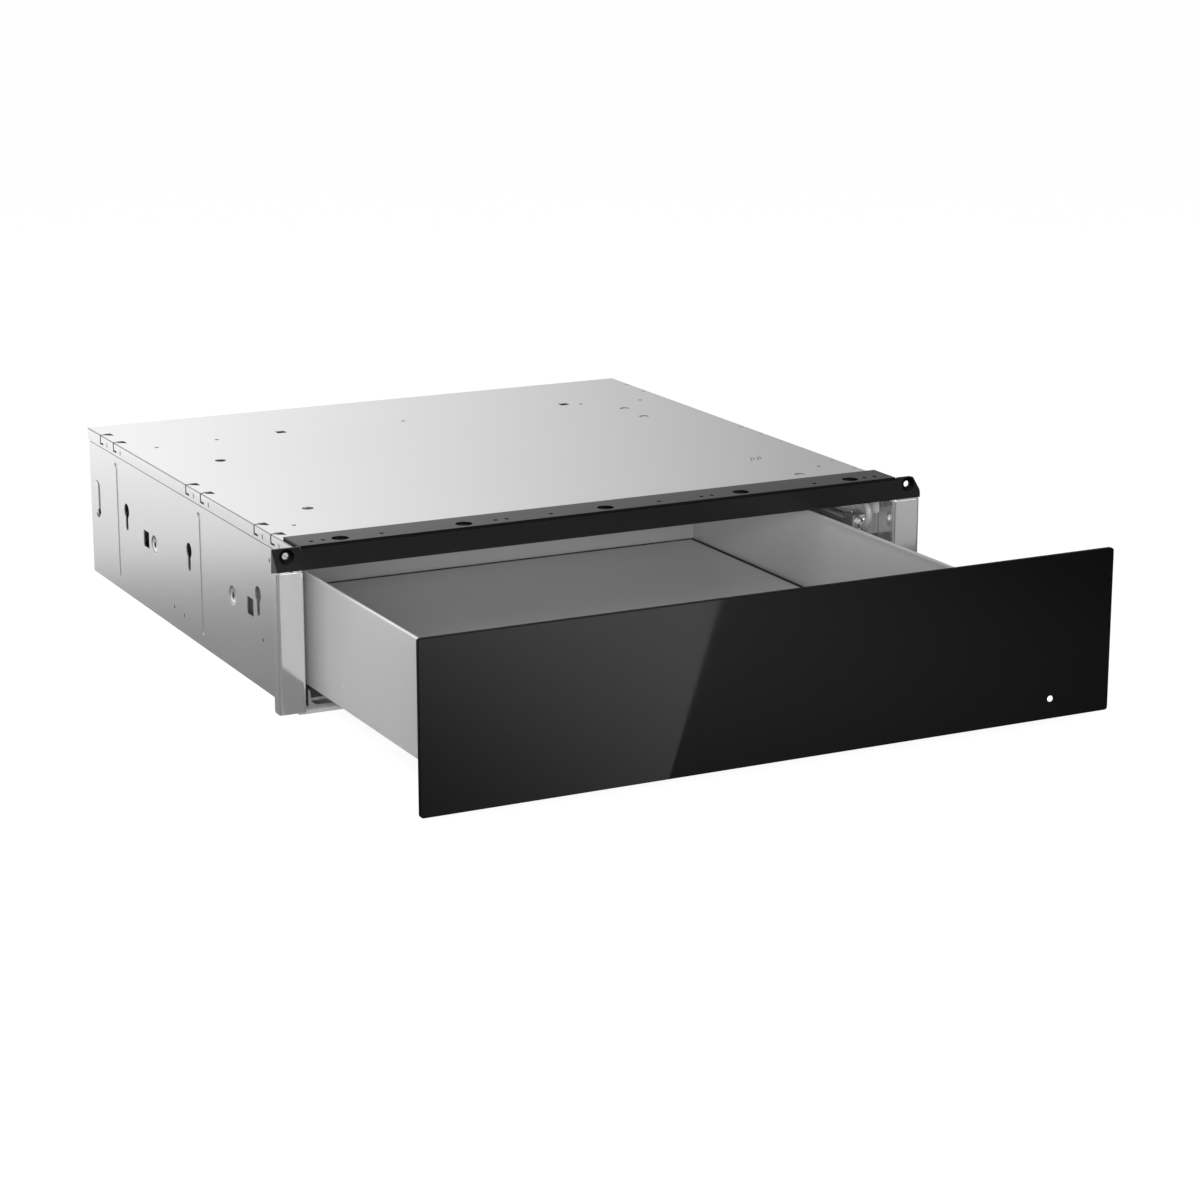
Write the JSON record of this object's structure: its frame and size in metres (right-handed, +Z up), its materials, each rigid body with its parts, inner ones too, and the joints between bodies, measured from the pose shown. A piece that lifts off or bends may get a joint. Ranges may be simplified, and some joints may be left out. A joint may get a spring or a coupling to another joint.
{
  "type": "built-in warming drawer",
  "caption": "Built-in warming drawer with a black glass front, pulled part of the way out of its galvanised steel case on telescopic rails, with a heated floor.",
  "frame": {"origin": "centre of the case's flat underside", "axes": "+Z up, the front faces -Y, +X is to the right of someone facing the front"},
  "size_m": [0.597, 0.8218, 0.1405],
  "materials": {
    "galvanised_steel": "galvanised sheet, satin",
    "black_steel": "black powder coat, satin",
    "fastener_steel": "zinc plated",
    "rail_steel": "zinc plated",
    "ball_steel": "polished",
    "drawer_steel": "satin stainless",
    "plate_steel": "satin stainless",
    "front_steel": "galvanised sheet, satin",
    "heater_metal": "heat-tinted",
    "black_glass": "back-printed black, gloss",
    "dark_rubber": "matte",
    "mat_fibre": "matte fibre",
    "dark_plastic": "matte",
    "light_plastic": "matte",
    "conduit_metal": "bright plated",
    "lead_rubber": "matte",
    "board_green": "solder resist"
  },
  "bodies": {
    "case": {"base_plate": "galvanised_steel", "side_panel_left": "galvanised_steel", "side_panel_right": "galvanised_steel", "top_cover": "galvanised_steel", "rear_panel": "galvanised_steel", "front_post_left": "galvanised_steel", "front_post_right": "galvanised_steel", "top_strip": "black_steel", "case_rivets": "fastener_steel", "case_screws": "fastener_steel", "rail_outer_left": "rail_steel", "rail_outer_right": "rail_steel", "rail_screws": "fastener_steel", "terminal_block": "light_plastic", "terminal_cover": "dark_plastic", "cable_gland": "dark_plastic", "supply_lead": "dark_rubber", "conduit_clip": "conduit_metal", "supply_conduit": "conduit_metal", "latch_body": "dark_plastic", "latch_spring": "ball_steel"},
    "drawer": {"rail_inner_left": "rail_steel", "rail_inner_right": "rail_steel", "rail_rivets": "fastener_steel", "drawer_side_left": "drawer_steel", "drawer_side_right": "drawer_steel", "drawer_back": "drawer_steel", "drawer_front_wall": "drawer_steel", "drawer_bottom": "drawer_steel", "warming_plate": "plate_steel", "plate_seal": "dark_rubber", "heating_element": "heater_metal", "heater_clips": "heater_metal", "heater_leads": "lead_rubber", "insulation_mat": "mat_fibre", "temperature_sensor": "heater_metal", "thermal_cutout": "dark_plastic", "front_glass": "black_glass", "glass_bond": "dark_rubber", "front_frame": "front_steel", "front_back_panel": "front_steel", "front_screws": "fastener_steel", "front_buffers": "dark_rubber", "status_lens": "light_plastic", "status_board": "board_green", "control_housing": "dark_plastic", "control_cover": "dark_plastic", "control_board": "board_green", "selector_switch": "dark_plastic", "rocker_frame": "dark_plastic"},
    "latch_plunger": {"latch_plunger": "light_plastic"},
    "selector": {"selector_shaft": "conduit_metal", "selector_knob": "dark_plastic"},
    "rocker": {"rocker_key": "dark_plastic"},
    "middle_left": {"rail_middle_left": "rail_steel"},
    "middle_right": {"rail_middle_right": "rail_steel"},
    "cage_outer_left": {"cage_outer_left": "ball_steel"},
    "cage_outer_right": {"cage_outer_right": "ball_steel"},
    "cage_inner_left": {"cage_inner_left": "ball_steel"},
    "cage_inner_right": {"cage_inner_right": "ball_steel"}
  },
  "joints": [
    {"name": "drawer_slide", "type": "slide", "parent": "case", "child": "drawer", "axis": [0, -1, 0], "range_m": [-0.258, 0.142], "deforming": ["supply_conduit"]},
    {"name": "middle_slide_left", "type": "slide", "parent": "case", "child": "middle_left", "axis": [0, -1, 0], "range_m": [-0.1295, 0.0715]},
    {"name": "middle_slide_right", "type": "slide", "parent": "case", "child": "middle_right", "axis": [0, -1, 0], "range_m": [-0.1295, 0.0715]},
    {"name": "cage_outer_slide_left", "type": "slide", "parent": "case", "child": "cage_outer_left", "axis": [0, -1, 0], "range_m": [-0.065, 0.036]},
    {"name": "cage_outer_slide_right", "type": "slide", "parent": "case", "child": "cage_outer_right", "axis": [0, -1, 0], "range_m": [-0.065, 0.036]},
    {"name": "cage_inner_slide_left", "type": "slide", "parent": "case", "child": "cage_inner_left", "axis": [0, -1, 0], "range_m": [-0.194, 0.107]},
    {"name": "cage_inner_slide_right", "type": "slide", "parent": "case", "child": "cage_inner_right", "axis": [0, -1, 0], "range_m": [-0.194, 0.107]},
    {"name": "latch_press", "type": "slide", "parent": "case", "child": "latch_plunger", "axis": [0, 1, 0], "range_m": [0, 0.006], "stiffness_N_per_m": 400, "springref_m": -0.01, "deforming": ["latch_spring"]},
    {"name": "selector_turn", "type": "hinge", "parent": "drawer", "child": "selector", "pos_m": [0.225, -0.471, 0.086], "axis": [0, 0, -1], "range_deg": [0, 270]},
    {"name": "rocker_tilt", "type": "hinge", "parent": "drawer", "child": "rocker", "pos_m": [0.225, -0.5131, 0.085], "axis": [-1, 0, 0], "range_deg": [0, 14]}
  ],
  "couplings": [
    {"joint": "middle_slide_left", "follows": "drawer_slide", "ratio": 0.5},
    {"joint": "middle_slide_right", "follows": "drawer_slide", "ratio": 0.5},
    {"joint": "cage_outer_slide_left", "follows": "drawer_slide", "ratio": 0.25},
    {"joint": "cage_outer_slide_right", "follows": "drawer_slide", "ratio": 0.25},
    {"joint": "cage_inner_slide_left", "follows": "drawer_slide", "ratio": 0.75},
    {"joint": "cage_inner_slide_right", "follows": "drawer_slide", "ratio": 0.75}
  ]
}
